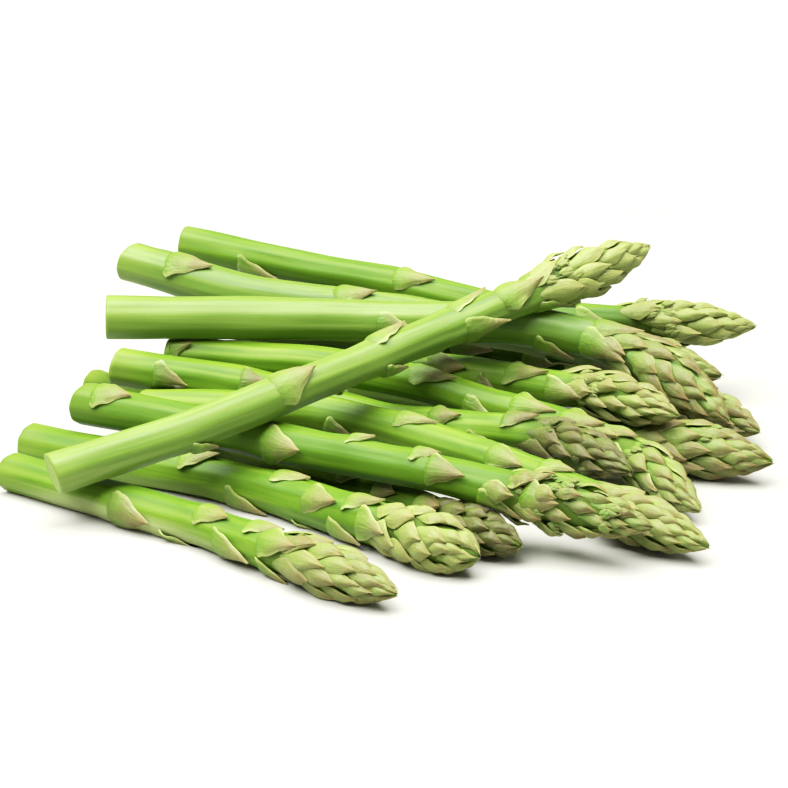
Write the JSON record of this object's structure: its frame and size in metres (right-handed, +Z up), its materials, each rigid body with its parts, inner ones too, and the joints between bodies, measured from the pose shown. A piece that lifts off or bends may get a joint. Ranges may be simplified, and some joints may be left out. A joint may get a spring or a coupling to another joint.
{
  "type": "bundle of asparagus",
  "caption": "Loose heap of green asparagus spears lying on a flat surface, cut ends one way and scaly pointed heads the other.",
  "frame": {"origin": "middle of the heap's footprint, on the surface that it lies on", "axes": "+Z up, heads towards +X, cut ends towards -X, front of the heap towards -Y"},
  "size_m": [0.2399, 0.2177, 0.0579],
  "materials": {
    "green_spear": "satin, moist vegetable skin",
    "dark_spear": "satin, moist vegetable skin with purple-brown scale tips"
  },
  "bodies": {
    "root": {"spear_01": "green_spear", "spear_02": "dark_spear", "spear_03": "green_spear", "spear_04": "green_spear", "spear_05": "green_spear", "spear_06": "dark_spear", "spear_07": "green_spear", "spear_08": "green_spear", "spear_09": "green_spear", "spear_10": "green_spear", "spear_11": "dark_spear", "spear_12": "dark_spear", "spear_13": "dark_spear", "spear_14": "dark_spear"}
  },
  "joints": []
}
